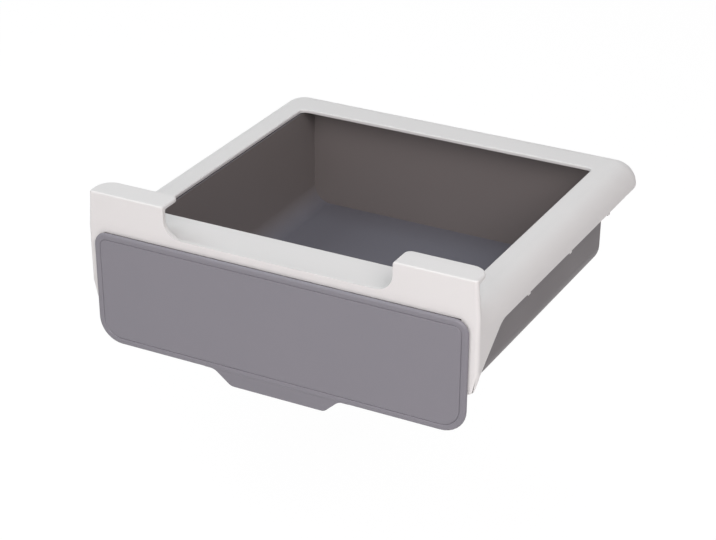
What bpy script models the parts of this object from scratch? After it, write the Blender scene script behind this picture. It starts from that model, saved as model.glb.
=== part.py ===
"""Under-shelf drawer: a moulded frame that hooks over the front edge of a shelf
and hangs a pull-out tray below it.

The design is written in millimetres, with y measured back from the frame's front
face, z up from the flat rails that touch the shelf, and x from the middle. The
empty called shelf_seat moves everything so that the world's origin is the middle
of the front rail's top face.
"""

import math

import bmesh
import bpy
from mathutils import Matrix, Vector

for old in list(bpy.data.objects):
    bpy.data.objects.remove(old, do_unlink=True)

MM = 0.001

# Frame, outside
FRAME_WIDTH = 300.0
FRAME_DEPTH = 291.0
WALL = 2.8
SKIRT_DROP = 17.2
ROLL_RADIUS = 16.8
BACK_CORNER_RADIUS = 19.4

# Frame, rails round the opening over the tray
SEAT_DEPTH = 42.0
SIDE_RAIL = 27.2
BACK_RAIL = 36.0
OPENING_CORNER = 5.0
OPENING_EDGE = 1.0

# Frame, front plate with its two ears and two legs
FRONT_WALL = 3.3
SILL_HEIGHT = 4.2
EAR_HEIGHT = 26.8
EAR_INSET = 1.8
EAR_STRAIGHT = 4.1
EAR_WIDTH = 60.5
EAR_GAP_RADIUS = 13.0
LEG_DROP = 57.0
LEG_CORNER = 6.0
LEG_TOE = 3.0
LEG_TAPER = 3.2
LEG_TIP = 1.4
LEG_PORTAL_CORNER = 1.0
EDGE_ROUND = 1.8
EAR_EDGE_RADIUS = 2.6
LEG_EDGE_RADIUS = 3.4

# Frame, hooks over the shelf
HOOK_REACH = 20.8
HOOK_THICKNESS = 2.7
HOOK_OUTER_CORNER = 12.0
HOOK_INNER_CORNER = 5.0
HOOK_FILLET = 1.2

# Frame, cheeks that brace the legs
CHEEK_REACH = 37.4
CHEEK_FOOT = 43.0
CHEEK_BLEND = 17.0
RIB_THICKNESS = 2.4
RIB_REACH = 15.0
RIB_CORNER = 3.0
RIB_CLEARANCE = 0.9

# Tray
TRAY_TOP_GAP = 0.8
TRAY_WALL = 2.3
TRAY_DEPTH = 84.6
TRAY_SHOW = 0.3
TRAY_REAR_GAP = 14.4
SIDE_DRAFT = math.radians(0.3)
REAR_DRAFT = math.radians(1.6)
TRAY_FILLET = 14.9
TRAY_CORNER = 1.5
FLANGE_DROP = 2.8
FLANGE_THICKNESS = 2.2
FLANGE_WIDTH = 11.3
FLANGE_START = 5.8
FLANGE_FRONT_CORNER = 3.0
FLANGE_BACK_CORNER = 8.0
BACK_FLANGE_WIDTH = 4.0
STOP_WIDTH = 3.6
STOP_LENGTH = 10.0
STOP_CORNER = 1.0

# Slide
TRAVEL = 200.0
STOP_PLAY = 0.5
SIDE_PLAY = 1.0
RUN_GAP = 0.3
FIT_GAP = 0.3

# Runners under the tray's flanges
LEDGE_THICKNESS = 2.4
WEB_THICKNESS = 2.6
RUNNER_REAR_GAP = 21.4
LUG_LENGTH = 4.0
LUG_THICKNESS = 1.5
LUG_CORNER = 0.5
LUG_FIRST = 81.0
LUG_PITCH = 71.0
LUG_COUNT = 3
GUSSET_THICKNESS = 2.0
GUSSET_COUNT = 6

# Front panel and its face plate
PANEL_TOP = 2.0
PANEL_BOTTOM = 87.0
PANEL_INSET = 6.0
PANEL_TAPER = 0.6
PANEL_THICKNESS = 3.2
PANEL_TOP_CORNER = 10.0
PANEL_BOTTOM_CORNER = 18.5
PANEL_EDGE = 2.0
PANEL_UNDERCUT = 1.2
RIM_WIDTH = 4.8
RIM_FALL = 0.1
GROOVE_SIDE = 0.6
GROOVE_DEPTH = 0.5
RABBET_WIDTH = 2.0
RABBET_DEPTH = 1.1
POCKET_DEPTH = 1.9
PLATE_SETBACK = 0.1

# Pull tab under the front panel
TAB_BOTTOM = 98.1
TAB_BOTTOM_WIDTH = 73.6
TAB_ROOT_WIDTH = 98.0
TAB_ROOT_HEIGHT = 2.0
TAB_LAP = 0.3
TAB_THICKNESS = 2.3
TAB_LEAN = math.radians(8.0)
TAB_CORNER = 6.0
TAB_FILLET = 8.0
TAB_EDGE = 0.5

# Posts that hold the front panel on the tray
POST_RADIUS = 2.2
POST_HEAD_RADIUS = 4.2
POST_HEAD_HEIGHT = 1.4
POST_HEAD_CROWN = 1.3
POST_SPREAD = 180.0
POST_HEIGHTS = (-24.0, -66.0)

# How finely round shapes are cut into facets, how far a cutter overshoots, and
# how near a point has to be to a plane to lie on it
ROUND_STEPS = 10
EDGE_STEPS = 4
ROD_STEPS = 24
CLEAR = 2.0
NEAR = 0.01
SHARP_ANGLE = math.radians(30.0)


def material(name, colour, roughness):
    """A plain moulded plastic."""
    made = bpy.data.materials.new(name)
    made.use_nodes = True
    shader = made.node_tree.nodes["Principled BSDF"]
    shader.inputs["Base Color"].default_value = (*colour, 1.0)
    shader.inputs["Roughness"].default_value = roughness
    shader.inputs["Metallic"].default_value = 0.0
    return made


def arc_steps(radius):
    """How many facets a rounded corner gets; a sharp corner stays one point."""
    if radius == 0.0:
        return 0
    return max(3, round(2.0 * math.sqrt(radius)))


def outline(corners, inset=0.0):
    """Points round a closed shape given by (u, v, radius) corners, anticlockwise.

    With an inset the whole outline moves inwards and its arcs stay concentric.
    """
    points = []
    for index, (u, v, radius) in enumerate(corners):
        here = Vector((u, v))
        before = Vector(corners[index - 1][:2])
        after = Vector(corners[(index + 1) % len(corners)][:2])
        come = (here - before).normalized()
        leave = (after - here).normalized()
        come_side = Vector((-come.y, come.x))
        leave_side = Vector((-leave.y, leave.x))
        here = here + (come_side + leave_side) * (inset / (1.0 + come_side.dot(leave_side)))
        steps = arc_steps(radius)
        if steps == 0:
            points.append(here)
            continue
        turn = math.atan2(come.x * leave.y - come.y * leave.x, come.dot(leave))
        side = math.copysign(1.0, turn)
        bend = radius - side * inset
        start = here - come * (bend * math.tan(abs(turn) / 2.0))
        centre = start + come_side * (side * bend)
        for step in range(steps + 1):
            swing = Matrix.Rotation(turn * step / steps, 2)
            points.append(centre + swing @ (start - centre))
    return points


def place(axis, u, v, w):
    """A point in space from its place on the outline and along the axis."""
    if axis == "X":
        return Vector((w, u, v))
    if axis == "Y":
        return Vector((u, w, v))
    return Vector((u, v, w))


def loft(name, loops):
    """A closed solid through loops of points that all have the same count."""
    mesh = bpy.data.meshes.new(name)
    work = bmesh.new()
    rows = []
    for loop in loops:
        rows.append([work.verts.new(Vector(point) * MM) for point in loop])
    for lower, upper in zip(rows, rows[1:]):
        for index in range(len(lower)):
            following = (index + 1) % len(lower)
            work.faces.new((lower[index], lower[following], upper[following], upper[index]))
    work.faces.new(list(reversed(rows[0])))
    work.faces.new(rows[-1])
    bmesh.ops.recalc_face_normals(work, faces=work.faces)
    work.to_mesh(mesh)
    work.free()
    made = bpy.data.objects.new(name, mesh)
    bpy.context.scene.collection.objects.link(made)
    return made


def stack(name, axis, corners, levels):
    """A loft of one outline, with an (inset, place along the axis) for each level."""
    loops = []
    for inset, along in levels:
        loops.append([place(axis, point.x, point.y, along) for point in outline(corners, inset)])
    return loft(name, loops)


def prism(name, axis, corners, start, end):
    """An outline pushed straight along an axis."""
    return stack(name, axis, corners, [(0.0, start), (0.0, end)])


def combine(target, tool, operation):
    """Join a tool to the target, or cut it out, and put the tool away."""
    step = target.modifiers.new(operation.lower(), "BOOLEAN")
    step.operation = operation
    step.solver = "EXACT"
    step.object = tool
    graph = bpy.context.evaluated_depsgraph_get()
    result = bpy.data.meshes.new_from_object(target.evaluated_get(graph))
    target.modifiers.clear()
    target.data = result
    bpy.data.objects.remove(tool, do_unlink=True)


def round_edges(target, chosen, radius, steps):
    """Round the sharp edges that a test picks by their two ends, in millimetres."""
    work = bmesh.new()
    work.from_mesh(target.data)
    picked = []
    for edge in work.edges:
        if len(edge.link_faces) != 2 or edge.calc_face_angle() < SHARP_ANGLE:
            continue
        if chosen(edge.verts[0].co / MM, edge.verts[1].co / MM):
            picked.append(edge)
    bmesh.ops.bevel(work, geom=picked, offset=radius * MM, offset_type="OFFSET", segments=steps,
                    profile=0.5, affect="EDGES", clamp_overlap=True)
    bmesh.ops.recalc_face_normals(work, faces=work.faces)
    work.to_mesh(target.data)
    work.free()


def both_sides(half):
    """A whole outline from the corners of its right half."""
    return half + [(-u, v, radius) for u, v, radius in reversed(half)]


def at(value, wanted):
    """Whether a coordinate lies on a plane of the design."""
    return abs(value - wanted) < NEAR


HALF = FRAME_WIDTH / 2.0
OPENING_HALF = HALF - SIDE_RAIL
OPENING_BACK = FRAME_DEPTH - BACK_RAIL
EAR_SIDE = HALF - EAR_INSET
EAR_INSIDE = EAR_SIDE - EAR_WIDTH
TRAY_TOP = -WALL - TRAY_TOP_GAP
TRAY_HALF = OPENING_HALF - TRAY_SHOW
TRAY_OUTER_HALF = TRAY_HALF + TRAY_WALL
TRAY_BOTTOM = TRAY_TOP - TRAY_DEPTH
TRAY_FRONT = FIT_GAP
TRAY_REAR = FRAME_DEPTH - TRAY_REAR_GAP
FLANGE_TOP = TRAY_TOP - FLANGE_DROP
FLANGE_BOTTOM = FLANGE_TOP - FLANGE_THICKNESS
FLANGE_HALF = TRAY_OUTER_HALF + FLANGE_WIDTH
LEDGE_TOP = FLANGE_BOTTOM - RUN_GAP
LEDGE_BOTTOM = LEDGE_TOP - LEDGE_THICKNESS
PORTAL_HALF = FLANGE_HALF + SIDE_PLAY
PORTAL_STEP = LEDGE_TOP - RUN_GAP
LEG_INSIDE = TRAY_OUTER_HALF + SIDE_PLAY
RUNNER_FRONT = FRONT_WALL + FIT_GAP
RUNNER_BACK = FRAME_DEPTH - RUNNER_REAR_GAP
PANEL_BACK = -FIT_GAP
PANEL_FRONT = PANEL_BACK - PANEL_THICKNESS


def shell_block(name, half, front, back, corner, roll, bottom, top):
    """A block whose two sides and back roll over into its flat top."""
    levels = [(0.0, bottom)]
    for step in range(ROUND_STEPS + 1):
        angle = math.pi / 2.0 * step / ROUND_STEPS
        levels.append((roll * (1.0 - math.cos(angle)), top - roll + roll * math.sin(angle)))
    loops = []
    for inset, height in levels:
        corners = [(-half, front - inset, 0.0), (half, front - inset, 0.0),
                   (half, back, corner), (-half, back, corner)]
        loops.append([place("Z", point.x, point.y, height) for point in outline(corners, inset)])
    return loft(name, loops)


def front_corners():
    """The front plate: two ears over the sill, and two legs beside the tray."""
    return both_sides([
        (PORTAL_HALF, -WALL, 0.0),
        (PORTAL_HALF, PORTAL_STEP, 0.0),
        (LEG_INSIDE, PORTAL_STEP, LEG_PORTAL_CORNER),
        (LEG_INSIDE, -LEG_DROP, LEG_TOE),
        (HALF - LEG_TAPER, -LEG_DROP, LEG_CORNER),
        (HALF, -CHEEK_FOOT, 0.0),
        (HALF, 0.0, 0.0),
        (EAR_SIDE, EAR_HEIGHT - EAR_STRAIGHT, 0.0),
        (EAR_SIDE, EAR_HEIGHT, 0.0),
        (EAR_INSIDE, EAR_HEIGHT, 0.0),
        (EAR_INSIDE, SILL_HEIGHT, EAR_GAP_RADIUS),
    ])


def hook(side):
    """The lip that lies on the shelf, with the fillet that ties it to the ear."""
    lip = prism("lip", "Z", [
        (EAR_INSIDE, FRONT_WALL / 3.0, 0.0), (EAR_SIDE, FRONT_WALL / 3.0, 0.0),
        (EAR_SIDE, HOOK_REACH, HOOK_OUTER_CORNER), (EAR_INSIDE, HOOK_REACH, HOOK_INNER_CORNER),
    ], EAR_HEIGHT - HOOK_THICKNESS, EAR_HEIGHT)
    under = EAR_HEIGHT - HOOK_THICKNESS
    inside = FRONT_WALL / 2.0
    fillet = prism("fillet", "X", [
        (inside, under - HOOK_FILLET, 0.0), (FRONT_WALL, under - HOOK_FILLET, 0.0),
        (FRONT_WALL, under, HOOK_FILLET), (FRONT_WALL + HOOK_FILLET, under, 0.0),
        (FRONT_WALL + HOOK_FILLET, under + HOOK_THICKNESS / 2.0, 0.0),
        (inside, under + HOOK_THICKNESS / 2.0, 0.0),
    ], EAR_INSIDE, EAR_SIDE)
    combine(lip, fillet, "UNION")
    if side < 0.0:
        turn_over(lip)
    return lip


def turn_over(item):
    """Mirror a right-hand piece to the left."""
    item.data.transform(Matrix.Scale(-1.0, 4, (1.0, 0.0, 0.0)))
    item.data.flip_normals()


def cheek(side):
    """The outer brace that runs from the skirt down behind the leg."""
    slope = (CHEEK_FOOT - SKIRT_DROP) / (CHEEK_REACH - FRONT_WALL)
    start = FRONT_WALL / 2.0
    top = -(ROLL_RADIUS + SKIRT_DROP) / 2.0
    made = prism("cheek", "X", [
        (start, top, 0.0),
        (start, -CHEEK_FOOT - slope * (FRONT_WALL - start), 0.0),
        (CHEEK_REACH, -SKIRT_DROP, CHEEK_BLEND),
        (CHEEK_REACH + CHEEK_BLEND, -SKIRT_DROP, 0.0),
        (CHEEK_REACH + CHEEK_BLEND, top, 0.0),
    ], HALF - WALL, HALF)
    if side < 0.0:
        turn_over(made)
    return made


def leg_rib(side):
    """The inner rib that stiffens a leg beside the tray."""
    start = FRONT_WALL / 2.0
    top = LEDGE_BOTTOM - RIB_CLEARANCE
    made = prism("leg_rib", "X", [
        (start, top, 0.0), (start, WALL - CHEEK_FOOT, 0.0), (FRONT_WALL, WALL - CHEEK_FOOT, 0.0),
        (RIB_REACH, 2.0 * top, RIB_CORNER), (RIB_REACH, top, 0.0),
    ], LEG_INSIDE, LEG_INSIDE + RIB_THICKNESS)
    if side < 0.0:
        turn_over(made)
    return made


def leg_thinner(side):
    """Cuts the back of a leg so that it thins towards its tip."""
    start = CHEEK_FOOT + FIT_GAP
    slope = (FRONT_WALL + FIT_GAP - LEG_TIP) / (LEG_DROP - start)
    made = prism("leg_thinner", "X", [
        (FRONT_WALL + FIT_GAP, -start, 0.0), (LEG_TIP - slope * CLEAR, -LEG_DROP - CLEAR, 0.0),
        (2.0 * FRONT_WALL, -LEG_DROP - CLEAR, 0.0), (2.0 * FRONT_WALL, -start, 0.0),
    ], LEG_INSIDE - CLEAR, HALF + CLEAR)
    if side < 0.0:
        turn_over(made)
    return made


def edge_cutter(side):
    """Rounds a leg's outer front edge, more and more towards its foot."""
    slant = EAR_INSET / (EAR_HEIGHT - EAR_STRAIGHT)
    above = EAR_HEIGHT - EAR_STRAIGHT
    taper = LEG_TAPER / (LEG_DROP - CHEEK_FOOT)
    levels = [
        (-LEG_DROP - CLEAR, HALF - LEG_TAPER - taper * CLEAR, LEG_EDGE_RADIUS),
        (-CHEEK_FOOT, HALF, LEG_EDGE_RADIUS),
        (0.0, HALF, EAR_EDGE_RADIUS),
        (above, HALF - slant * above, EAR_EDGE_RADIUS),
        (EAR_HEIGHT + CLEAR, EAR_SIDE, EAR_EDGE_RADIUS),
    ]
    loops = []
    for height, outside, radius in levels:
        loop = [Vector((outside - radius, -CLEAR, height)), Vector((outside + CLEAR, -CLEAR, height)),
                Vector((outside + CLEAR, radius, height))]
        for step in range(ROUND_STEPS + 1):
            angle = math.pi / 2.0 * step / ROUND_STEPS
            loop.append(Vector((outside - radius + radius * math.cos(angle),
                                radius - radius * math.sin(angle), height)))
        loops.append(loop)
    made = loft("edge_cutter", loops)
    if side < 0.0:
        turn_over(made)
    return made


def mounting_frame():
    """The white frame, one moulding: skirt, rails, front plate, hooks and braces."""
    frame = shell_block("mounting_frame", HALF, FRONT_WALL / 2.0, FRAME_DEPTH, BACK_CORNER_RADIUS,
                        ROLL_RADIUS, -SKIRT_DROP, 0.0)
    hollow = shell_block("hollow", HALF - WALL, -WALL, FRAME_DEPTH - WALL, BACK_CORNER_RADIUS - WALL,
                         ROLL_RADIUS - WALL, -2.0 * SKIRT_DROP, -WALL)
    combine(frame, hollow, "DIFFERENCE")
    opening = prism("opening", "Z", [
        (-OPENING_HALF, SEAT_DEPTH, OPENING_CORNER), (OPENING_HALF, SEAT_DEPTH, OPENING_CORNER),
        (OPENING_HALF, OPENING_BACK, OPENING_CORNER), (-OPENING_HALF, OPENING_BACK, OPENING_CORNER),
    ], -2.0 * WALL, WALL)
    combine(frame, opening, "DIFFERENCE")
    combine(frame, prism("front_plate", "Y", front_corners(), 0.0, FRONT_WALL), "UNION")
    for side in (-1.0, 1.0):
        combine(frame, hook(side), "UNION")
        combine(frame, cheek(side), "UNION")
        combine(frame, leg_rib(side), "UNION")
        combine(frame, leg_thinner(side), "DIFFERENCE")
        combine(frame, edge_cutter(side), "DIFFERENCE")

    def on_front(first, second):
        """The front face's rim above the panel, and the rim of each ear's top."""
        front = at(first.y, 0.0) and at(second.y, 0.0) and min(first.z, second.z) > 0.0
        top = at(first.z, EAR_HEIGHT) and at(second.z, EAR_HEIGHT)
        return front or top

    def on_opening(first, second):
        """The upper rim of the opening over the tray."""
        for spot in (first, second):
            across = abs(spot.x) < OPENING_HALF + NEAR
            along = SEAT_DEPTH - NEAR < spot.y < OPENING_BACK + NEAR
            if not (across and along and at(spot.z, 0.0)):
                return False
        return True

    round_edges(frame, on_front, EDGE_ROUND, 4)
    round_edges(frame, on_opening, OPENING_EDGE, 3)
    return frame


def tray_skin(name, half, floor, fillet, front, rear):
    """A U-shaped trough, a little too high, with a drafted rear end."""
    bottom_half = half - (TRAY_TOP - floor) * math.tan(SIDE_DRAFT)
    top_half = half + WALL * math.tan(SIDE_DRAFT)
    corners = [(-bottom_half, floor, fillet), (bottom_half, floor, fillet),
               (top_half, TRAY_TOP + WALL, 0.0), (-top_half, TRAY_TOP + WALL, 0.0)]
    rounded = []
    for step in range(EDGE_STEPS + 1):
        angle = math.pi / 2.0 * step / EDGE_STEPS
        rounded.append((TRAY_CORNER * (1.0 - math.sin(angle)), TRAY_CORNER * (1.0 - math.cos(angle))))
    levels = [(inset, front + along) for inset, along in rounded]
    levels += [(inset, rear - along) for inset, along in reversed(rounded)]
    skin = stack(name, "Y", corners, levels)
    for point in skin.data.vertices:
        if point.co.y > (front + rear) / 2.0 * MM:
            point.co.y -= (TRAY_TOP * MM - point.co.z) * math.tan(REAR_DRAFT)
    return skin


def drawer_tray():
    """The grey tray: a trough with long curved lower edges and the flanges it slides on."""
    tray = tray_skin("drawer_tray", TRAY_OUTER_HALF, TRAY_BOTTOM, TRAY_FILLET + TRAY_WALL,
                     TRAY_FRONT, TRAY_REAR)
    hollow = tray_skin("hollow", TRAY_HALF, TRAY_BOTTOM + TRAY_WALL, TRAY_FILLET,
                       TRAY_FRONT + TRAY_WALL, TRAY_REAR - TRAY_WALL)
    lid = prism("lid", "Z", [
        (-HALF, TRAY_FRONT - CLEAR, 0.0), (HALF, TRAY_FRONT - CLEAR, 0.0),
        (HALF, TRAY_REAR + CLEAR, 0.0), (-HALF, TRAY_REAR + CLEAR, 0.0),
    ], TRAY_TOP, TRAY_TOP + 2.0 * WALL)
    combine(tray, hollow, "DIFFERENCE")
    combine(tray, lid, "DIFFERENCE")
    combine(tray, tray_flange(), "UNION")
    for height in POST_HEIGHTS:
        for across in (-POST_SPREAD / 2.0, POST_SPREAD / 2.0):
            hole = rod("hole", across, height, [
                (POST_RADIUS + FIT_GAP, TRAY_FRONT - CLEAR), (POST_RADIUS + FIT_GAP, TRAY_WALL + CLEAR),
            ])
            combine(tray, hole, "DIFFERENCE")
    return tray


def tray_flange():
    """The ledge round the tray's sides and back, with a stop on each side."""
    stop_front = FRONT_WALL + TRAVEL + STOP_PLAY
    stop_half = FLANGE_HALF + STOP_WIDTH
    back = TRAY_REAR + BACK_FLANGE_WIDTH
    inner = TRAY_OUTER_HALF - TRAY_WALL / 2.0
    inner_back = TRAY_REAR - TRAY_WALL / 2.0
    return prism("flange", "Z", both_sides([
        (inner, FLANGE_START, 0.0),
        (FLANGE_HALF, FLANGE_START, FLANGE_FRONT_CORNER),
        (FLANGE_HALF, stop_front, 0.0),
        (stop_half, stop_front, STOP_CORNER),
        (stop_half, stop_front + STOP_LENGTH, STOP_CORNER),
        (FLANGE_HALF, stop_front + STOP_LENGTH, 0.0),
        (FLANGE_HALF, back, FLANGE_BACK_CORNER),
    ]) + [(-inner, inner_back, 0.0), (inner, inner_back, 0.0)],
        FLANGE_BOTTOM, FLANGE_TOP)


def rod(name, across, height, levels):
    """A round rod along y, with a (radius, place) for each level."""
    loops = []
    for radius, along in levels:
        loop = []
        for step in range(ROD_STEPS):
            angle = 2.0 * math.pi * step / ROD_STEPS
            loop.append(Vector((across + radius * math.cos(angle), along, height + radius * math.sin(angle))))
        loops.append(loop)
    return loft(name, loops)


def runner(side):
    """The ledge that carries one flange, clipped under the skirt by three lugs."""
    fit = ROLL_RADIUS - WALL - FIT_GAP
    roll_x = HALF - ROLL_RADIUS
    roll_z = -ROLL_RADIUS
    end = math.asin((LEDGE_TOP - roll_z) / fit)
    rounded = []
    for step in range(EDGE_STEPS + 1):
        angle = end * step / EDGE_STEPS
        rounded.append((roll_x + fit * math.cos(angle), roll_z + fit * math.sin(angle), 0.0))
    outside = HALF - WALL - FIT_GAP
    web_inside = outside - WEB_THICKNESS
    ledge_inside = TRAY_OUTER_HALF + SIDE_PLAY
    profile = [(ledge_inside, LEDGE_BOTTOM), (web_inside, LEDGE_BOTTOM), (web_inside, -SKIRT_DROP),
               (outside, -SKIRT_DROP)]
    corners = [(x, z, 0.0) for x, z in profile] + rounded + [(ledge_inside, LEDGE_TOP, 0.0)]
    made = prism("runner", "Y", corners, RUNNER_FRONT, RUNNER_BACK)
    for index in range(LUG_COUNT):
        middle = LUG_FIRST + index * LUG_PITCH
        low = -SKIRT_DROP - FIT_GAP - LUG_THICKNESS
        lug = prism("lug", "X", [
            (middle - LUG_LENGTH / 2.0, low, LUG_CORNER), (middle + LUG_LENGTH / 2.0, low, LUG_CORNER),
            (middle + LUG_LENGTH / 2.0, -SKIRT_DROP - FIT_GAP, 0.0),
            (middle - LUG_LENGTH / 2.0, -SKIRT_DROP - FIT_GAP, 0.0),
        ], web_inside + FIT_GAP, HALF - FIT_GAP)
        neck = prism("neck", "X", [
            (middle - LUG_LENGTH / 2.0, low + LUG_THICKNESS / 2.0, 0.0),
            (middle + LUG_LENGTH / 2.0, low + LUG_THICKNESS / 2.0, 0.0),
            (middle + LUG_LENGTH / 2.0, -SKIRT_DROP + WALL, 0.0),
            (middle - LUG_LENGTH / 2.0, -SKIRT_DROP + WALL, 0.0),
        ], web_inside + 2.0 * FIT_GAP, outside - FIT_GAP)
        combine(lug, neck, "UNION")
        combine(made, lug, "UNION")
    for index in range(GUSSET_COUNT):
        middle = RUNNER_FRONT + (RUNNER_BACK - RUNNER_FRONT) * (index + 0.5) / GUSSET_COUNT
        gusset = prism("gusset", "Y", [
            (web_inside + FIT_GAP, -SKIRT_DROP + FIT_GAP, 0.0),
            (web_inside + FIT_GAP, LEDGE_BOTTOM + FIT_GAP, 0.0),
            (ledge_inside + LEDGE_THICKNESS, LEDGE_BOTTOM + FIT_GAP, 0.0),
            (ledge_inside + LEDGE_THICKNESS, LEDGE_BOTTOM - FIT_GAP, 0.0),
        ][::-1], middle - GUSSET_THICKNESS / 2.0, middle + GUSSET_THICKNESS / 2.0)
        combine(made, gusset, "UNION")
    if side < 0.0:
        turn_over(made)
    made.name = "left_runner" if side < 0.0 else "right_runner"
    return made


def panel_corners():
    """The front panel's outline, a little narrower at its foot."""
    top = HALF - PANEL_INSET
    bottom = top - PANEL_TAPER
    return [(-bottom, -PANEL_BOTTOM, PANEL_BOTTOM_CORNER), (bottom, -PANEL_BOTTOM, PANEL_BOTTOM_CORNER),
            (top, -PANEL_TOP, PANEL_TOP_CORNER), (-top, -PANEL_TOP, PANEL_TOP_CORNER)]


def front_panel():
    """The drawer front: a crowned rim round a stepped pocket, and the pull tab below it."""
    levels = [(PANEL_UNDERCUT, PANEL_BACK), (0.0, PANEL_FRONT + PANEL_EDGE)]
    for step in range(1, ROUND_STEPS + 1):
        angle = math.pi / 2.0 * step / ROUND_STEPS
        levels.append((PANEL_EDGE * (1.0 - math.cos(angle)),
                       PANEL_FRONT + PANEL_EDGE * (1.0 - math.sin(angle))))
    levels += [
        (RIM_WIDTH - GROOVE_SIDE, PANEL_FRONT + RIM_FALL),
        (RIM_WIDTH, PANEL_FRONT + GROOVE_DEPTH),
        (RIM_WIDTH, PANEL_FRONT + RABBET_DEPTH),
        (RIM_WIDTH + RABBET_WIDTH, PANEL_FRONT + RABBET_DEPTH),
        (RIM_WIDTH + RABBET_WIDTH, PANEL_FRONT + POCKET_DEPTH),
    ]
    panel = stack("front_panel", "Y", panel_corners(), levels)
    combine(panel, pull_tab(), "UNION")
    for height in POST_HEIGHTS:
        for across in (-POST_SPREAD / 2.0, POST_SPREAD / 2.0):
            combine(panel, post(across, height), "UNION")
    return panel


def pull_tab():
    """The finger tab that hangs from the panel's foot and leans back a little."""
    root = -PANEL_BOTTOM + TAB_LAP
    wide = TAB_ROOT_WIDTH / 2.0 + TAB_FILLET
    back = PANEL_BACK - TAB_LAP
    tab = prism("tab", "Y", both_sides([
        (TAB_BOTTOM_WIDTH / 2.0, -TAB_BOTTOM, TAB_CORNER),
        (TAB_ROOT_WIDTH / 2.0, root, TAB_FILLET),
        (wide, root, 0.0),
        (wide, root + TAB_ROOT_HEIGHT, 0.0),
    ]), back - TAB_THICKNESS, back)

    def on_rim(first, second):
        """The tab's front and back rims below the panel."""
        return at(first.y, second.y) and max(first.z, second.z) < root - TAB_LAP

    round_edges(tab, on_rim, TAB_EDGE, 2)
    for point in tab.data.vertices:
        point.co.y += max(0.0, root * MM - point.co.z) * math.tan(TAB_LEAN)
    return tab


def post(across, height):
    """A post through the tray's front wall, staked over into a flat head."""
    head = TRAY_FRONT + TRAY_WALL + FIT_GAP
    return rod("post", across, height, [
        (POST_RADIUS, PANEL_BACK - TAB_LAP),
        (POST_RADIUS, head),
        (POST_HEAD_RADIUS, head),
        (POST_HEAD_RADIUS, head + POST_HEAD_HEIGHT / 2.0),
        (POST_HEAD_RADIUS - POST_HEAD_CROWN, head + POST_HEAD_HEIGHT),
    ])


def face_plate():
    """The thin plate let into the front panel's pocket, with an edge that laps the step."""
    foot = RIM_WIDTH + RABBET_WIDTH + FIT_GAP
    edge = RIM_WIDTH + FIT_GAP
    front = PANEL_FRONT + PLATE_SETBACK
    return stack("face_plate", "Y", panel_corners(), [
        (foot, PANEL_FRONT + POCKET_DEPTH - FIT_GAP),
        (foot, PANEL_FRONT + RABBET_DEPTH - FIT_GAP),
        (edge, PANEL_FRONT + RABBET_DEPTH - FIT_GAP),
        (edge, PANEL_FRONT + GROOVE_DEPTH),
        (edge + GROOVE_SIDE, front),
    ])


def finish(item, coat, parent):
    """Give a piece its plastic, its smooth shading and its place in the tree."""
    item.data.materials.clear()
    item.data.materials.append(coat)
    item.data.shade_smooth()
    item.data.set_sharp_from_angle(angle=SHARP_ANGLE)
    item.parent = parent
    item.matrix_parent_inverse = Matrix.Identity(4)


def empty(name, spot, parent):
    """A named point in the assembly."""
    made = bpy.data.objects.new(name, None)
    bpy.context.scene.collection.objects.link(made)
    made.location = Vector(spot) * MM
    made.parent = parent
    return made


WHITE = material("white_abs", (0.76, 0.74, 0.73), 0.45)
GREY = material("grey_pp", (0.24, 0.235, 0.26), 0.5)

seat = empty("shelf_seat", (0.0, -(FRONT_WALL + SEAT_DEPTH) / 2.0, 0.0), None)
slide = empty("drawer_slide", (0.0, 0.0, 0.0), seat)

finish(mounting_frame(), WHITE, seat)
finish(runner(-1.0), WHITE, seat)
finish(runner(1.0), WHITE, seat)
finish(drawer_tray(), GREY, slide)
finish(front_panel(), GREY, slide)
finish(face_plate(), GREY, slide)
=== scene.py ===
# %% [markdown]
# # An under-shelf drawer
#
# The object is a white plastic frame that hooks over the front edge of a shelf,
# with a grey plastic tray that slides out from under it.
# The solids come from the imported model. This lesson gives them the soft edges,
# the grain and the light that make moulded plastic look like plastic.

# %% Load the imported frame
import math

import bmesh
import bpy
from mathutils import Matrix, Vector


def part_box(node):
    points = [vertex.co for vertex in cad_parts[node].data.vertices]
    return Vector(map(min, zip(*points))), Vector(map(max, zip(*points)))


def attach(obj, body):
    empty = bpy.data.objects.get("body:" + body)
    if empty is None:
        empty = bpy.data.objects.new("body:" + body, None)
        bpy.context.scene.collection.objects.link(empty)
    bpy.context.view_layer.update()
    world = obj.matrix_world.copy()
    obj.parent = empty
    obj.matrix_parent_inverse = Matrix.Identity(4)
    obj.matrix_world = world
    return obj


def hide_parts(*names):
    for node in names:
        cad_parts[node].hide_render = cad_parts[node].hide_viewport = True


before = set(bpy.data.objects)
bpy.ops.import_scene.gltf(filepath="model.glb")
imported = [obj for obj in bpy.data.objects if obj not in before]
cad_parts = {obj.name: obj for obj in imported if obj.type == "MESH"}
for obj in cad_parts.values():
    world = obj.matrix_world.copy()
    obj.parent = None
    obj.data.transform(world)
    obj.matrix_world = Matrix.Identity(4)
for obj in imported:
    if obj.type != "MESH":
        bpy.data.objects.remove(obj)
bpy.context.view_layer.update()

MM = 0.001

# %% [markdown]
# ## Colours
#
# Colours are easiest to compare with a photograph as sRGB hex values, the way a
# picture editor shows them. Blender's shaders work with linear light, so one
# function turns the first into the second.

# %% From hex to linear light
def linear(code):
    """An sRGB hex colour as linear red, green, blue and alpha, by the sRGB standard's formula."""
    channels = []
    for start in (1, 3, 5):
        value = int(code[start:start + 2], 16) / 255.0
        channels.append(value / 12.92 if value <= 0.04045 else ((value + 0.055) / 1.055) ** 2.4)
    return (*channels, 1.0)


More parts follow.
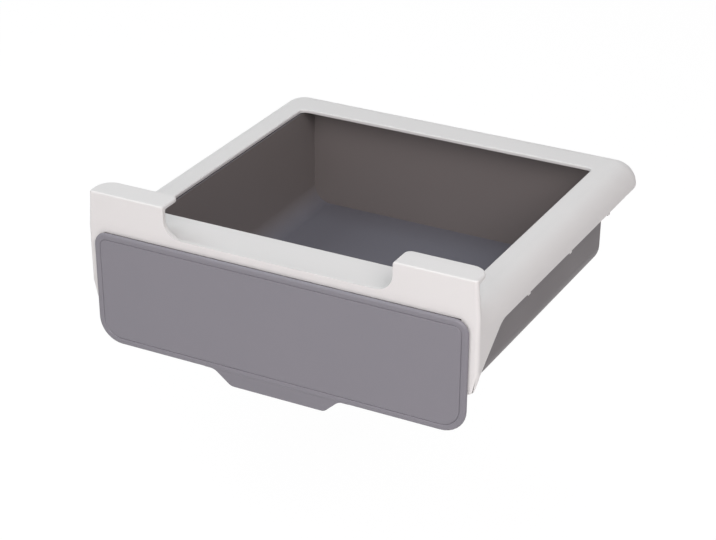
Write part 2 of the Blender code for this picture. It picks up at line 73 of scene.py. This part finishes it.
# %% [markdown]
# ## One way to add a node
#
# A material is a small graph. Adding a node always takes the same three steps:
# make it, set its values, and link its inputs. One function does all three, so
# that the recipes below stay short.

# %% Add a node with its settings and links
def node(tree, kind, values=None, links=None, **settings):
    """A shader node with its settings, socket values and incoming links."""
    made = tree.nodes.new(kind)
    for name, value in settings.items():
        setattr(made, name, value)
    for name, value in (values or {}).items():
        made.inputs[name].default_value = value
    for name, socket in (links or {}).items():
        tree.links.new(socket, made.inputs[name])
    return made


# %% [markdown]
# ## Moulded plastic
#
# The frame is injection-moulded ABS and the tray injection-moulded polypropylene.
# Their steel moulds are spark-eroded, which leaves a very fine, even grain of
# about 0.1 mm on the plastic. To the eye that gives a soft satin sheen
# without clear reflections. The real grain is finer than a pixel here, so it is drawn
# at 0.6 mm, just coarse enough to break up the highlights.
# A second, much wider noise makes tint and sheen differ a little from place to
# place, as the plastic's flow in the mould does. A picture of real plastic could give
# the same, but noise needs no file, has no seams and never repeats.

# %% A recipe for satin moulded plastic
GRAIN = 0.6 * MM
GRAIN_DETAIL = 3.0
GRAIN_DEPTH = 0.012 * MM
GRAIN_STRENGTH = 0.5
FLOW = 60.0 * MM
FLOW_DETAIL = 2.0
SHEEN_SPREAD = 0.04


def moulded_plastic(name, colour, shade, ior, roughness, painted_light_from_above=None):
    """A satin plastic with mould grain, faint flow marks and perhaps painted cool light on faces that
    look up.
    """
    made = bpy.data.materials.new(name)
    made.use_nodes = True
    tree = made.node_tree
    shader = tree.nodes["Principled BSDF"]
    shader.inputs["IOR"].default_value = ior
    place = node(tree, "ShaderNodeTexCoord")
    flow = node(tree, "ShaderNodeTexNoise", {"Scale": 1.0 / FLOW, "Detail": FLOW_DETAIL},
                {"Vector": place.outputs["Object"]})
    grain = node(tree, "ShaderNodeTexNoise", {"Scale": 1.0 / GRAIN, "Detail": GRAIN_DETAIL},
                 {"Vector": place.outputs["Object"]})
    tint = node(tree, "ShaderNodeMix", {"A": linear(colour), "B": linear(shade)},
                {"Factor": flow.outputs["Fac"]}, data_type="RGBA")
    # Faces that look up blend towards another tint: painted light from above.
    if painted_light_from_above:
        surface = node(tree, "ShaderNodeNewGeometry")
        upward = node(tree, "ShaderNodeSeparateXYZ", None, {"Vector": surface.outputs["Normal"]})
        tint = node(tree, "ShaderNodeMix", {"B": linear(painted_light_from_above)},
                    {"Factor": upward.outputs["Z"], "A": tint.outputs["Result"]}, data_type="RGBA")
    tree.links.new(tint.outputs["Result"], shader.inputs["Base Color"])
    sheen = node(tree, "ShaderNodeMapRange",
                 {"To Min": roughness - SHEEN_SPREAD, "To Max": roughness + SHEEN_SPREAD},
                 {"Value": flow.outputs["Fac"]})
    tree.links.new(sheen.outputs["Result"], shader.inputs["Roughness"])
    bump = node(tree, "ShaderNodeBump", {"Strength": GRAIN_STRENGTH, "Distance": GRAIN_DEPTH},
                {"Height": grain.outputs["Fac"]})
    tree.links.new(bump.outputs["Normal"], shader.inputs["Normal"])
    print(name, "is ready")
    return made


# %% [markdown]
# Three plastics are needed. ABS reflects a little more than
# polypropylene (index of refraction 1.54 against 1.49) and comes out of the mould
# a touch smoother. The drawer front is a cool mid grey. The tray behind it is
# the same plastic, given a darker colour: that darkness is painted shade.
#
# The tray's inside gets a second copy of that plastic, a little lighter than the
# outside: painted light in the hollow. The light in the photograph is cooler from above than
# from the front. It shows strongly inside the tray, with brownish walls and a
# bluish floor, so the inside's tint takes a little of it: faces that look up get a
# cooler tint, which is painted light from above.

# %% The plastics
ABS_IOR = 1.54
PP_IOR = 1.49

white_abs = moulded_plastic("white_abs_spark_eroded_moulding", "#E6E4E2", "#E2E0DE", ABS_IOR,
                            roughness=0.42)
front_pp = moulded_plastic("grey_pp_spark_eroded_moulding", "#848188", "#817F86", PP_IOR,
                           roughness=0.45)
# The tray's darker colour is painted shade on the same plastic as the front.
tray_pp_painted_shade = moulded_plastic("grey_pp_spark_eroded_painted_shade", "#6F696B", "#6D6769", PP_IOR,
                          roughness=0.48)
# The inside's lighter copy, cooler on faces that look up, is painted light.
inside_pp_painted_light = moulded_plastic("grey_pp_inside_painted_light", "#7D7674", "#7B7472", PP_IOR,
                          roughness=0.46, painted_light_from_above="#6C6B73")

# %% [markdown]
# ## Dress the solids
#
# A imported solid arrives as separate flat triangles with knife-sharp corners. A copy of
# it is welded back into one skin, and its flat fields lose their needless edges.
# Then its sharp outer corners are really rounded, as the mould's corners are: the
# cutter or the spark leaves about a third of a millimetre. These narrow rounds catch
# the light as thin bright lines, and nothing else tells the eye so clearly that a
# thing is moulded. Inner corners stay crisp.
#
# A Bevel modifier could round them too. Here it is done with bmesh, Blender's kit for
# editing a mesh from a script, because some places have to be mended before the
# rounding and all points have to be checked after it.

# %% Find and round corners
FLAT = math.radians(0.4)
TRUE_CORNER = math.radians(28.0)
ROUND_PROFILE = 0.5


def clear_flats(work):
    """Takes out the edges that lie within a flat field."""
    bmesh.ops.dissolve_limit(work, angle_limit=FLAT, verts=work.verts, edges=work.edges)


def is_outer_corner(edge):
    """Whether two faces meet at this edge in a sharp outer corner."""
    return len(edge.link_faces) == 2 and edge.calc_face_angle_signed() > TRUE_CORNER


def round_off(work, edges, radius, steps, clamp=False):
    """Rounds edges to a radius in a few steps."""
    bmesh.ops.bevel(work, geom=edges, offset=radius, offset_type="OFFSET", segments=steps,
                    profile=ROUND_PROFILE, affect="EDGES", clamp_overlap=clamp)


# %% [markdown]
# A rounding may not stick out of the solid it came from, so each point is held
# inside the solid's box. A piece that is pressed into another may also be grown a
# little sideways, to close the gap that the solids keep.

# %% Keep a point inside the box
def held_and_grown(place, low, high, spread):
    """A place held inside a box, then moved out from the box's middle in x and z."""
    moved = []
    for axis, grow in enumerate((spread, 0.0, spread)):
        held = min(max(place[axis], low[axis]), high[axis])
        middle = (low[axis] + high[axis]) / 2.0
        moved.append(middle + (held - middle) * (1.0 + grow / (high[axis] - middle)))
    return moved


# %% [markdown]
# Holding the points squeezes a few narrow faces to no width at all, so these are
# taken out at the end. The count of open edges tells whether the skin is whole: an
# edge with fewer or more than two faces would be a tear or a fold.

# %% Weld and round a copy
WELD = 0.01 * MM
ROUND_STEPS = 2
SLIVER = 0.005 * MM


def rounded_copy(source, radius, spread, mend):
    """A mesh like the source, mended, with rounded outer corners, grown by the spread."""
    mesh = source.data.copy()
    low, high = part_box(source.name)
    work = bmesh.new()
    work.from_mesh(mesh)
    bmesh.ops.remove_doubles(work, verts=work.verts, dist=WELD)
    if mend:
        mend(work)
    clear_flats(work)
    corners = [edge for edge in work.edges if is_outer_corner(edge)]
    round_off(work, corners, radius, ROUND_STEPS)
    for point in work.verts:
        point.co = held_and_grown(point.co, low, high, spread)
    bmesh.ops.dissolve_degenerate(work, edges=work.edges, dist=SLIVER)
    open_edges = sum(1 for edge in work.edges if len(edge.link_faces) != 2)
    work.to_mesh(mesh)
    work.free()
    print(source.name, "has", len(corners), "rounded corners and", open_edges, "open edges")
    return mesh


# %% [markdown]
# A curve is made of flat strips, so its shading has to flow from strip to strip, and
# a flat field has to stay flat right up to its rounded edge. In Blender's plain smooth
# shading a narrow rounding weighs as much as the wide field beside it, which tips the
# light on the field. Here each face counts by its area instead. At each corner of each
# face the directions of the faces around that point are added up by their area.
# Faces that lie round a real corner are left out, so the shading stops at the crisp
# inner corners by itself. Directions that came with the solid are thrown away first.

# %% Shade by area
ONE_SURFACE = math.cos(math.radians(50.0))


def shade_by_area(mesh):
    """Smooth shading that leaves the large faces flat and stops at the inner corners."""
    stale = mesh.attributes.get("custom_normal")
    if stale:
        mesh.attributes.remove(stale)
    touching = [[] for _ in mesh.vertices]
    for face in mesh.polygons:
        for point in face.vertices:
            touching[point].append((face.normal.copy(), face.area))
    directions = []
    for face in mesh.polygons:
        for point in face.vertices:
            total = sum((normal * area for normal, area in touching[point]
                         if normal.dot(face.normal) > ONE_SURFACE), Vector())
            directions.append(total.normalized())
    mesh.polygons.foreach_set("use_smooth", [True] * len(mesh.polygons))
    mesh.normals_split_custom_set(directions)


# %% [markdown]
# Each dressed copy takes its solid's place, moves with the same body and wears its
# own plastic.

# %% Dress a solid
EDGE_ROUND = 0.35 * MM


def put_in_scene(name, data):
    """A new object that holds a mesh, a lamp or a camera, linked to the scene."""
    made = bpy.data.objects.new(name, data)
    bpy.context.scene.collection.objects.link(made)
    return made


def dress(name, body, coat, radius=EDGE_ROUND, spread=0.0, mend=None):
    """A rounded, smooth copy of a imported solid, in its own plastic."""
    mesh = rounded_copy(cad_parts[name], radius, spread, mend)
    mesh.materials.clear()
    mesh.materials.append(coat)
    shade_by_area(mesh)
    piece = put_in_scene(name + "_moulding", mesh)
    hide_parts(name)
    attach(piece, body)
    return piece


# %% [markdown]
# A hand touches the frame's ears, so their top edges are rounder than the rest: the
# photograph shows a soft bright band along them, about as wide as a 1.3 mm radius gives.
# The solid has only a hair-fine round there, 0.05 mm. So the points close to the top
# are first lifted to it and welded into a sharp corner, which can then be rounded.

# %% Softer top edges on the ears
EAR_TOP = 26.8 * MM
HAIR_REACH = 0.1 * MM
EAR_ROUND = 1.3 * MM
EAR_STEPS = 4


def soft_ears(work):
    """Rounds the outline of both ears' top faces."""
    tops = [point for point in work.verts if point.co.z > EAR_TOP - HAIR_REACH]
    for point in tops:
        point.co.z = EAR_TOP
    bmesh.ops.remove_doubles(work, verts=tops, dist=HAIR_REACH)
    bmesh.ops.dissolve_degenerate(work, edges=work.edges, dist=WELD)
    clear_flats(work)
    outline = [edge for edge in work.edges
               if is_outer_corner(edge) and all(point.co.z > EAR_TOP - WELD for point in edge.verts)]
    round_off(work, outline, EAR_ROUND, EAR_STEPS)
    print(len(outline), "edges of the ears' tops are rounded")


# %% [markdown]
# The frame is one white moulding. A runner is fixed under each of its side rails,
# and the tray's flanges slide on the two. The runners' walls are thin, so their
# corners are rounded less.

# %% The white frame and its runners
RUNNER_ROUND = 0.25 * MM

dress("mounting_frame", "frame", white_abs, mend=soft_ears)
dress("left_runner", "frame", white_abs, RUNNER_ROUND)
dress("right_runner", "frame", white_abs, RUNNER_ROUND)

# %% [markdown]
# Inside the tray the back wall meets the side walls and the floor in a crisp line:
# a curve there would draw a bright line in the picture, since it would face the lamps.
# The solid has a small curve of 1.5 mm. Its points are pushed into the corner, each to
# the spot where its wall would meet the back wall, and then welded.

# %% Crisp corners at the tray's back wall
RIM_HEIGHT = -3.6 * MM
BACK_AT_RIM = 251.65 * MM
BACK_SLOPE = math.tan(math.radians(1.6))
SOLID_CURVE = 1.5 * MM
NEAR = 0.05 * MM


def ahead_of_back(place):
    """How far a place lies in front of the inner face of the tray's leaning back wall."""
    return BACK_AT_RIM - (RIM_HEIGHT - place.z) * BACK_SLOPE - place.y


def crisp_back(work):
    """Pushes the small curve round the tray's back wall into its corner."""
    curve, ends = [], []
    for point in work.verts:
        ahead = ahead_of_back(point.co)
        if abs(ahead - SOLID_CURVE) < NEAR:
            ends.append(point)
        elif -NEAR < ahead < SOLID_CURVE:
            curve.append(point)
    for point in curve:
        end = min(ends, key=lambda other: math.hypot(other.co.x - point.co.x, other.co.z - point.co.z))
        point.co = (end.co.x, end.co.y + SOLID_CURVE, end.co.z)
    for point in ends:
        point.co.y += SOLID_CURVE
    bmesh.ops.remove_doubles(work, verts=curve + ends, dist=WELD)
    bmesh.ops.dissolve_degenerate(work, edges=work.edges, dist=WELD)
    print(len(curve), "points of the curve were pushed to", len(ends), "corners")


# %% [markdown]
# The drawer is a tray, a front panel and a face plate. The plate is pressed into the
# panel, so its edge touches the rim. The solids keep a gap of 0.3 mm there, and the
# copy is grown to close most of it. What is left to see is a soft, shallow groove
# instead of a black slit.

# %% The grey drawer
PANEL_ROUND = 0.2 * MM
PRESS_FIT = 0.22 * MM

drawer_tray = dress("drawer_tray", "drawer", tray_pp_painted_shade, mend=crisp_back)
dress("front_panel", "drawer", front_pp, PANEL_ROUND)
dress("face_plate", "drawer", front_pp, PANEL_ROUND, PRESS_FIT)

# %% [markdown]
# The faces that lie wholly in the tray's hollow, with a margin for the rounded rim,
# get the inside's lighter plastic with its painted light. The hollow's half width, front
# and floor are sizes of the solid, and its back is the leaning wall from above. Picking
# faces by place is safer than by number, since a new model.glb may number them in another way.

# %% The tray's inside
HOLLOW_HALF = 122.5 * MM
HOLLOW_FRONT = -20.05 * MM
HOLLOW_FLOOR = -85.9 * MM
MARGIN = 0.4 * MM
PAINTED_LIGHT_SLOT = 1


def in_hollow(place):
    """Whether a place lies in the tray's hollow or on its skin."""
    return (abs(place.x) < HOLLOW_HALF + MARGIN and place.z > HOLLOW_FLOOR - MARGIN
            and place.y > HOLLOW_FRONT - MARGIN and ahead_of_back(place) > -MARGIN)


tray_mesh = drawer_tray.data
tray_mesh.materials.append(inside_pp_painted_light)
inner_faces = [face for face in tray_mesh.polygons
               if all(in_hollow(tray_mesh.vertices[point].co) for point in face.vertices)]
for face in inner_faces:
    face.material_index = PAINTED_LIGHT_SLOT
print(len(inner_faces), "faces of the tray lie inside")

# %% [markdown]
# ## What the mould leaves behind
#
# From below a moulding shows how it was made. Wide flat rails are stiffened by thin
# ribs, because a thick rail would sink in as it cools. Pins push the part out of the
# mould and leave small round marks. The plastic enters a tray through one point in
# the middle of its floor, and the broken-off stub stays there. The photograph shows
# none of this. It is guessed from what such mouldings have.
#
# Each of these is a low boss that hangs from a larger piece, so one helper lofts them
# all: an outline at the root, sunk a little into its piece, and a slightly smaller
# one at the tip, since a mould needs draft to let the part go.

# %% A low boss with draft and a rounded tip
SINK = 0.3 * MM
DRAFT = 0.15 * MM
TIP_ROUND = 0.25 * MM
TIP_STEPS = 2


def ring(work, outline, height, inset):
    """Points on an (x, y) outline at a height, each drawn in towards the middle by the inset."""
    centre = sum((Vector(point) for point in outline), Vector((0.0, 0.0))) / len(outline)
    points = []
    for point in outline:
        away = Vector(point) - centre
        drawn = centre + away * (1.0 - inset / away.length)
        points.append(work.verts.new((drawn.x, drawn.y, height)))
    return points


def boss(name, outline, root, drop, body, coat):
    """A low boss on an (x, y) outline that hangs down from the height of its root."""
    work = bmesh.new()
    upper = ring(work, outline, root + SINK, 0.0)
    lower = ring(work, outline, root - drop, DRAFT)
    for index in range(len(outline)):
        after = (index + 1) % len(outline)
        work.faces.new((upper[index], upper[after], lower[after], lower[index]))
    work.faces.new(upper)
    tip = work.faces.new(lower)
    round_off(work, list(tip.edges), min(TIP_ROUND, drop / 2.0), TIP_STEPS, clamp=True)
    bmesh.ops.recalc_face_normals(work, faces=work.faces)
    mesh = bpy.data.meshes.new(name)
    work.to_mesh(mesh)
    work.free()
    mesh.materials.append(coat)
    shade_by_area(mesh)
    piece = put_in_scene(name, mesh)
    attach(piece, body)
    print(name, "stands", round(drop / MM, 1), "mm proud")


# %% [markdown]
# The front rail is 39 mm wide and 2.8 mm thick. Under it run two long ribs and five
# short ones. They end clear of the tray's side walls, and the tray's back wall never
# comes this far forward, so the drawer slides past them.

# %% Ribs under the front rail
RAIL_UNDERSIDE = -2.8 * MM
RIB = 1.6 * MM
RIB_DROP = 3.0 * MM
RIB_RUN = 232.0 * MM
LONG_RIB_PLACES = (-9.0 * MM, 8.0 * MM)
BETWEEN_LONG_RIBS = sum(LONG_RIB_PLACES) / 2.0
SHORT_RIBS = 5
SHORT_RIB_RUN = 35.0 * MM
RIB_PITCH = RIB_RUN / SHORT_RIBS


def bar(x, y, wide, deep):
    """The outline of a bar round (x, y), so wide along x and so deep along y."""
    right, back = wide / 2.0, deep / 2.0
    return [(x - right, y - back), (x + right, y - back), (x + right, y + back), (x - right, y + back)]


for number, y in enumerate(LONG_RIB_PLACES):
    boss(f"front_rail_long_rib_{number}", bar(0.0, y, RIB_RUN, RIB), RAIL_UNDERSIDE, RIB_DROP,
         "frame", white_abs)
for number in range(SHORT_RIBS):
    x = (number - (SHORT_RIBS - 1) / 2.0) * RIB_PITCH
    boss(f"front_rail_short_rib_{number}", bar(x, BETWEEN_LONG_RIBS, RIB, SHORT_RIB_RUN),
         RAIL_UNDERSIDE, RIB_DROP, "frame", white_abs)

# %% [markdown]
# The narrow back rail has one rib, behind the place where the closed tray ends. It
# starts where the rail already curves down into its rolled edge.

# %% A rib under the back rail
ROLL_UNDERSIDE = -6.5 * MM
BACK_RIB_PLACE = 262.0 * MM
BACK_RIB_DROP = 4.3 * MM

boss("back_rail_rib", bar(0.0, BACK_RIB_PLACE, RIB_RUN, RIB), ROLL_UNDERSIDE, BACK_RIB_DROP,
     "frame", white_abs)

# %% [markdown]
# An ejector pin stood between each two short ribs. The hot plastic pressed a little
# way into the pin's hole, so a flat round mark stands proud there.

# %% Marks of the ejector pins between the ribs
PIN_RADIUS = 3.0 * MM
PIN_MARK = 0.2 * MM
PIN_MARKS = SHORT_RIBS - 1
CIRCLE_STEPS = 24


def circle(x, y, radius):
    """The outline of a round boss."""
    turns = [2.0 * math.pi * step / CIRCLE_STEPS for step in range(CIRCLE_STEPS)]
    return [(x + radius * math.cos(turn), y + radius * math.sin(turn)) for turn in turns]


for number in range(PIN_MARKS):
    x = (number - (PIN_MARKS - 1) / 2.0) * RIB_PITCH
    boss(f"ejector_mark_{number}", circle(x, BETWEEN_LONG_RIBS, PIN_RADIUS), RAIL_UNDERSIDE, PIN_MARK,
         "frame", white_abs)

# %% [markdown]
# The tray's gate is a short stub on a low round pad under the middle of the floor. The
# pad makes the floor a little thicker there, so the stub tears off without a hole.

# %% The gate under the tray
TRAY_UNDERSIDE = -88.2 * MM
GATE_SPOT = (0.0, 115.0 * MM)
PAD_RADIUS = 6.0 * MM
PAD_DROP = 0.4 * MM
STUB_RADIUS = 1.2 * MM
STUB_DROP = 0.9 * MM

boss("gate_pad", circle(*GATE_SPOT, PAD_RADIUS), TRAY_UNDERSIDE, PAD_DROP,
     "drawer", tray_pp_painted_shade)
boss("gate_stub", circle(*GATE_SPOT, STUB_RADIUS), TRAY_UNDERSIDE, STUB_DROP,
     "drawer", tray_pp_painted_shade)

# %% [markdown]
# ## Camera
#
# The camera stands in front, to the right and above, far away with a long lens,
# so that parallel edges stay nearly parallel. Its place was found by fitting the
# straight edges of the frame to the photograph.

# %% Set the camera
CAMERA_PLACE = Vector((0.6336, -1.0959, 0.6264))
CAMERA_AZIMUTH = 28.02
CAMERA_ELEVATION = 26.70
SENSOR = 36.0
LENS = 105.24
NEAREST = 0.05
FARTHEST = 50.0


def outward(azimuth, elevation):
    """A direction away from the drawer, in degrees. Azimuth 0 is to the front, 90 to the right."""
    turn, rise = math.radians(azimuth), math.radians(elevation)
    return Vector((math.sin(turn) * math.cos(rise), -math.cos(turn) * math.cos(rise), math.sin(rise)))


def aim(thing, direction):
    """Turns a camera or a lamp so that it looks in a direction."""
    thing.rotation_mode = "QUATERNION"
    thing.rotation_quaternion = direction.to_track_quat("-Z", "Y")


lens = bpy.data.cameras.new("camera")
lens.lens = LENS
lens.sensor_width = SENSOR
lens.clip_start = NEAREST
lens.clip_end = FARTHEST
camera = put_in_scene("camera", lens)
camera.location = CAMERA_PLACE
aim(camera, -outward(CAMERA_AZIMUTH, CAMERA_ELEVATION))
bpy.context.scene.camera = camera
print("The camera is", round(CAMERA_PLACE.length, 2), "m from the front rail")

# %% [markdown]
# ## Studio
#
# The photograph shows the drawer alone on pure white, with no shadow near it. It
# hangs from a shelf in use, so here it hangs above a plain pale floor. The light is
# soft: a faint glow from all round and four large lamps.
#
# A backdrop could be lit until it turns white, but that much light would spill onto
# the drawer. So the surroundings are white only for the rays that look at them: those
# of the camera, and those that a glossy or clear surface sends on. The two inputs of
# a Math node share one name, so they are picked by number.

# %% Which rays see plain white
def looked_at(tree):
    """One for the rays of the camera, of gloss and of glass, and zero for the rest."""
    path = node(tree, "ShaderNodeLightPath")
    direct = node(tree, "ShaderNodeMath", None,
                  {0: path.outputs["Is Camera Ray"], 1: path.outputs["Is Glossy Ray"]},
                  operation="MAXIMUM")
    either = node(tree, "ShaderNodeMath", None,
                  {0: direct.outputs[0], 1: path.outputs["Is Transmission Ray"]},
                  operation="MAXIMUM")
    return either.outputs[0]


# %% [markdown]
# The world is plain white to look at. The light that it sheds on the drawer is faint
# and has a trace of red, which the shaded sides of the white frame show in the
# photograph.

# %% The glow from all round
WHITE = "#FFFFFF"
GLOW_TINT = "#FFF0F4"
GLOW_STRENGTH = 0.14

world = bpy.data.worlds.new("studio")
bpy.context.scene.world = world
world.use_nodes = True
sky = world.node_tree
sky.nodes.clear()
ambient = node(sky, "ShaderNodeBackground", {"Color": linear(GLOW_TINT), "Strength": GLOW_STRENGTH})
plain = node(sky, "ShaderNodeBackground", {"Color": linear(WHITE), "Strength": 1.0})
shown = node(sky, "ShaderNodeMixShader", None,
             {0: looked_at(sky), 1: ambient.outputs[0], 2: plain.outputs[0]})
node(sky, "ShaderNodeOutputWorld", None, {"Surface": shown.outputs[0]})
print("The world glows at", GLOW_STRENGTH)

# %% [markdown]
# The floor is a wide sheet of white studio paper, some way below the tray. To the
# camera nine tenths of it are a plain white glow, and the last tenth is real matt
# paper, which keeps a hint of the drawer's shadow. The glow is a little over white,
# to make up for the matt tenth, which is darker.

# %% The paper floor
FLOOR_DROP = 0.28
FLOOR_SIZE = 16.0
SHADOW_SHARE = 0.1
PAPER_TINT = "#F2F0F0"
PAPER_GLOW = 1.06

paper = bpy.data.materials.new("white_studio_paper")
paper.use_nodes = True
sheet = paper.node_tree
sheet.nodes.clear()
matt = node(sheet, "ShaderNodeBsdfDiffuse", {"Color": linear(PAPER_TINT)})
glow = node(sheet, "ShaderNodeEmission", {"Color": linear(WHITE), "Strength": PAPER_GLOW})
share = node(sheet, "ShaderNodeMath", {1: 1.0 - SHADOW_SHARE}, {0: looked_at(sheet)},
             operation="MULTIPLY")
mixed = node(sheet, "ShaderNodeMixShader", None,
             {0: share.outputs[0], 1: matt.outputs[0], 2: glow.outputs[0]})
node(sheet, "ShaderNodeOutputMaterial", None, {"Surface": mixed.outputs[0]})

floor_mesh = bpy.data.meshes.new("studio_floor")
half = FLOOR_SIZE / 2.0
floor_mesh.from_pydata([(-half, -half, 0.0), (half, -half, 0.0), (half, half, 0.0), (-half, half, 0.0)],
                       [], [(0, 1, 2, 3)])
floor_mesh.materials.append(paper)
studio_floor = put_in_scene("studio_floor", floor_mesh)
studio_floor.location.z = -FLOOR_DROP
print("The floor lies", FLOOR_DROP, "m below the shelf")

# %% [markdown]
# Four softboxes hang 2.2 m from the drawer. The strongest stands in front and to the
# right, at 40 degrees above the horizon, and gives the rounded front edges their
# bright line. A lower one in front reaches under the back rail, onto the tray's back
# wall. One straight above and one from the left light the rails and the tray's
# floor, a little cooler, as daylight from a ceiling does.

# %% Four softboxes
MIDDLE = Vector((0.0, 0.12, -0.03))
LAMP_DISTANCE = 2.2
LAMP_SIZE = 1.2
WARM = "#FFFCFD"
COOL = "#EFFBFF"


def softbox(name, azimuth, elevation, power, colour):
    """A large square lamp that faces the drawer's middle. Angles in degrees, power in watts."""
    lamp = bpy.data.lights.new(name, "AREA")
    lamp.shape = "SQUARE"
    lamp.size = LAMP_SIZE
    lamp.energy = power
    lamp.color = linear(colour)[:3]
    made = put_in_scene(name, lamp)
    made.location = MIDDLE + LAMP_DISTANCE * outward(azimuth, elevation)
    aim(made, MIDDLE - made.location)
    print(name, "lamp gives", power, "W")


softbox("key", 44.0, 40.0, 24.0, WARM)
softbox("front", 0.0, 20.0, 14.0, WARM)
softbox("top", 0.0, 88.0, 10.4, COOL)
softbox("left", -85.0, 45.0, 11.5, COOL)

# %% [markdown]
# ## Colour handling
#
# The Standard view shows a colour as it is written, so the hex values above can be
# compared with the photograph, and white paper is plain white.

# %% Show colours as they are written
bpy.context.scene.view_settings.view_transform = "Standard"
